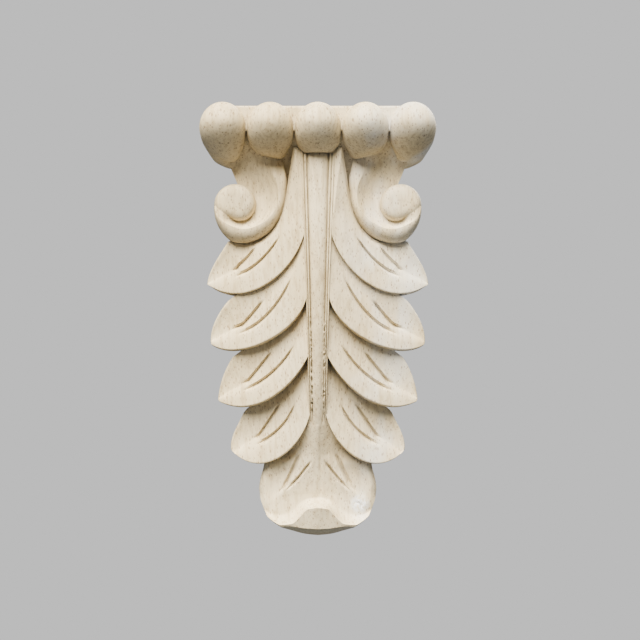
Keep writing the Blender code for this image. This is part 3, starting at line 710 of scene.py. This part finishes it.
def wood(name):
    """Pale close wood: vertical grain, fine pores and a matt surface."""
    material = bpy.data.materials.new(name)
    material.use_nodes = True
    tree = material.node_tree
    nodes, links = tree.nodes, tree.links
    shader = nodes["Principled BSDF"]
    shader.inputs["Roughness"].default_value = 0.62
    shader.inputs["Specular IOR Level"].default_value = 0.32
    place = nodes.new("ShaderNodeTexCoord")

    grain = nodes.new("ShaderNodeMapping")
    grain.inputs["Rotation"].default_value = (math.radians(GRAIN_DIP), math.radians(1.5), 0.0)
    links.new(place.outputs["Object"], grain.inputs["Vector"])

    def stretched(scale):
        mapping = nodes.new("ShaderNodeMapping")
        mapping.inputs["Scale"].default_value = scale
        links.new(grain.outputs["Vector"], mapping.inputs["Vector"])
        return mapping.outputs["Vector"]

    def cloud(scale, detail, rough=0.5):
        texture = nodes.new("ShaderNodeTexNoise")
        texture.inputs["Scale"].default_value = 1.0
        texture.inputs["Detail"].default_value = detail
        texture.inputs["Roughness"].default_value = rough
        links.new(stretched(scale), texture.inputs["Vector"])
        return texture.outputs["Fac"]

    def ramp(value, stops):
        node = nodes.new("ShaderNodeValToRGB")
        elements = node.color_ramp.elements
        for k, (position, color) in enumerate(stops):
            element = elements[k] if k < 2 else elements.new(position)
            element.position = position
            element.color = (*color, 1.0)
        links.new(value, node.inputs["Fac"])
        return node.outputs["Color"]

    def feed(socket, value):
        """Give a socket a plain value, or link another node's output to it."""
        if isinstance(value, (float, tuple)):
            socket.default_value = value
        else:
            links.new(value, socket)

    def mix(kind, share, first, second):
        node = nodes.new("ShaderNodeMix")
        node.data_type = "RGBA"
        node.blend_type = kind
        feed(node.inputs["Factor"], share)
        feed(node.inputs["A"], first)
        feed(node.inputs["B"], second)
        return node.outputs["Result"]

    def math_node(kind, first, second):
        node = nodes.new("ShaderNodeMath")
        node.operation = kind
        feed(node.inputs[0], first)
        feed(node.inputs[1], second)
        return node.outputs["Value"]

    tone = ramp(cloud((55, 55, 9), 3), ((0.3, (0.79, 0.66, 0.43)), (0.72, (0.87, 0.77, 0.56))))
    streak = ramp(cloud((950, 950, 60), 4, 0.65), ((0.36, (0.66, 0.60, 0.52)), (0.54, (1.0, 1.0, 1.0))))
    color = mix("MULTIPLY", 0.55, tone, streak)

    # Painted light, paler patches on the forward surfaces of the viewer's right half where cooler,
    # brighter light falls, and a pale knot beside the rolled tip
    parts = nodes.new("ShaderNodeSeparateXYZ")
    links.new(place.outputs["Object"], parts.inputs["Vector"])

    def fade(value, start, end):
        node = nodes.new("ShaderNodeMapRange")
        node.interpolation_type = "SMOOTHSTEP"
        node.inputs["From Min"].default_value = start
        node.inputs["From Max"].default_value = end
        links.new(value, node.inputs["Value"])
        return node.outputs["Result"]

    knot = nodes.new("ShaderNodeVectorMath")
    knot.operation = "DISTANCE"
    knot.inputs[1].default_value = KNOT
    links.new(place.outputs["Object"], knot.inputs[0])
    patches = fade(cloud((90, 90, 40), 3), 0.40, 0.66)
    # Painted light: whitish patches over the right half, on surfaces standing a few millimetres forward
    right_side_light = math_node("MULTIPLY", fade(parts.outputs["X"], 0.004, 0.016), patches)
    right_side_light = math_node("MULTIPLY", right_side_light, fade(parts.outputs["Y"], -0.003, -0.008))
    speckle = fade(cloud((900, 900, 900), 3), 0.36, 0.50)
    spot = math_node("MULTIPLY", fade(knot.outputs["Value"], 0.0042, 0.0016), speckle)
    pale = math_node("MAXIMUM", math_node("MULTIPLY", right_side_light, 0.6), spot)
    # Pale colour for the painted light on the right half and for the real knot
    color = mix("MIX", pale, color, (0.93, 0.92, 0.89, 1.0))

    # Dark pores, with coarser ones on the beads
    def pores(scale, size, keep):
        cells = nodes.new("ShaderNodeTexVoronoi")
        cells.inputs["Scale"].default_value = 1.0
        links.new(stretched(scale), cells.inputs["Vector"])
        spot = nodes.new("ShaderNodeMapRange")
        spot.inputs["From Min"].default_value = size * 0.5
        spot.inputs["From Max"].default_value = size
        spot.inputs["To Min"].default_value = 1.0
        spot.inputs["To Max"].default_value = 0.0
        links.new(cells.outputs["Distance"], spot.inputs["Value"])
        pick = nodes.new("ShaderNodeSeparateColor")
        links.new(cells.outputs["Color"], pick.inputs["Color"])
        chosen = math_node("LESS_THAN", pick.outputs["Red"], keep)
        return math_node("MULTIPLY", spot.outputs["Result"], chosen)

    pore = math_node("MAXIMUM", pores((1150, 1150, 380), 0.26, 0.6), pores((1900, 1900, 560), 0.27, 0.55))
    on_beads = fade(parts.outputs["Z"], 0.050, 0.056)
    coarse = math_node("MULTIPLY", on_beads, fade(cloud((170, 170, 170), 2), 0.44, 0.56))
    pore = math_node("MAXIMUM", pore, math_node("MULTIPLY", coarse, pores((760, 760, 340), 0.30, 0.6)))
    color = mix("MIX", math_node("MULTIPLY", pore, 0.7), color, (0.33, 0.22, 0.13, 1.0))

    # Painted shade in the narrow cuts and at the foot of each wall, where other surfaces are close
    hollow = nodes.new("ShaderNodeAmbientOcclusion")
    hollow.samples = 6
    hollow.inputs["Distance"].default_value = 0.0022
    painted_crease_shade = ramp(hollow.outputs["AO"], ((0.2, (0.68, 0.70, 0.76)), (0.8, (1.0, 1.0, 1.0))))
    # Painted shade multiplied into the wood's colour
    links.new(mix("MULTIPLY", 1.0, color, painted_crease_shade), shader.inputs["Base Color"])

    height = math_node("SUBTRACT", math_node("MULTIPLY", cloud((1100, 1100, 90), 4, 0.6), 0.5),
                       math_node("MULTIPLY", pore, 0.8))
    bump = nodes.new("ShaderNodeBump")
    bump.inputs["Strength"].default_value = 0.35
    bump.inputs["Distance"].default_value = 0.00012
    links.new(height, bump.inputs["Height"])
    links.new(bump.outputs["Normal"], shader.inputs["Normal"])
    return material


def plain(name, color, roughness):
    material = bpy.data.materials.new(name)
    material.use_nodes = True
    shader = material.node_tree.nodes["Principled BSDF"]
    shader.inputs["Base Color"].default_value = (*color, 1.0)
    shader.inputs["Roughness"].default_value = roughness
    return material


def stage():
    """Pale round floor far below the carving."""
    mesh = bmesh.new()
    bmesh.ops.create_circle(mesh, cap_ends=True, segments=96, radius=FLOOR_RADIUS)
    bmesh.ops.translate(mesh, vec=FLOOR_PLACE, verts=mesh.verts)
    data = bpy.data.meshes.new("floor")
    mesh.to_mesh(data)
    mesh.free()
    ground = bpy.data.objects.new("floor", data)
    ground.data.materials.append(plain("pale_floor", (0.25, 0.25, 0.25), 0.9))
    ground.visible_diffuse = False
    bpy.context.scene.collection.objects.link(ground)


def light(name, energy, direction, angle, color):
    """Broad soft light that comes from one direction."""
    data = bpy.data.lights.new(name, "SUN")
    data.energy = energy
    data.angle = angle
    data.color = color
    thing = bpy.data.objects.new(name, data)
    thing.rotation_euler = Vector(direction).to_track_quat("Z", "Y").to_euler()
    bpy.context.scene.collection.objects.link(thing)


def studio():
    """Plain surroundings: a pale ground to look at, and a weak even light from all sides."""
    world = bpy.data.worlds.new("studio")
    world.use_nodes = True
    nodes, links = world.node_tree.nodes, world.node_tree.links
    weak = nodes["Background"]
    weak.inputs["Color"].default_value = (0.88, 0.93, 1.0, 1.0)
    weak.inputs["Strength"].default_value = 0.22
    seen = nodes.new("ShaderNodeBackground")
    seen.inputs["Color"].default_value = (0.60, 0.60, 0.60, 1.0)
    path = nodes.new("ShaderNodeLightPath")
    choice = nodes.new("ShaderNodeMixShader")
    links.new(path.outputs["Is Camera Ray"], choice.inputs["Fac"])
    links.new(weak.outputs["Background"], choice.inputs[1])
    links.new(seen.outputs["Background"], choice.inputs[2])
    links.new(choice.outputs["Shader"], nodes["World Output"].inputs["Surface"])
    bpy.context.scene.world = world
    bpy.context.scene.view_settings.look = "AgX - Medium High Contrast"


def camera():
    """Camera that looks straight at the front."""
    data = bpy.data.cameras.new("camera")
    data.lens = LENS
    data.sensor_width = 36.0
    data.shift_x = LENS_SHIFT
    data.clip_start = 0.01
    thing = bpy.data.objects.new("camera", data)
    thing.location = CAMERA_PLACE
    thing.rotation_euler = (math.pi / 2, 0.0, 0.0)
    bpy.context.scene.collection.objects.link(thing)
    bpy.context.scene.camera = thing


carving = carve()
settle(carving)
carving.data.materials.clear()
carving.data.materials.append(wood("pale_wood"))
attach(carving, "root")
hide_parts("applique")

stage()
light("key", 9.4, (-0.18, -math.cos(KEY_RISE), math.sin(KEY_RISE)), 0.85, (1.0, 0.945, 0.835))
light("rear", 2.5, (0.5, 0.8, 0.5), 0.8, (1.0, 1.0, 1.0))
studio()
camera()
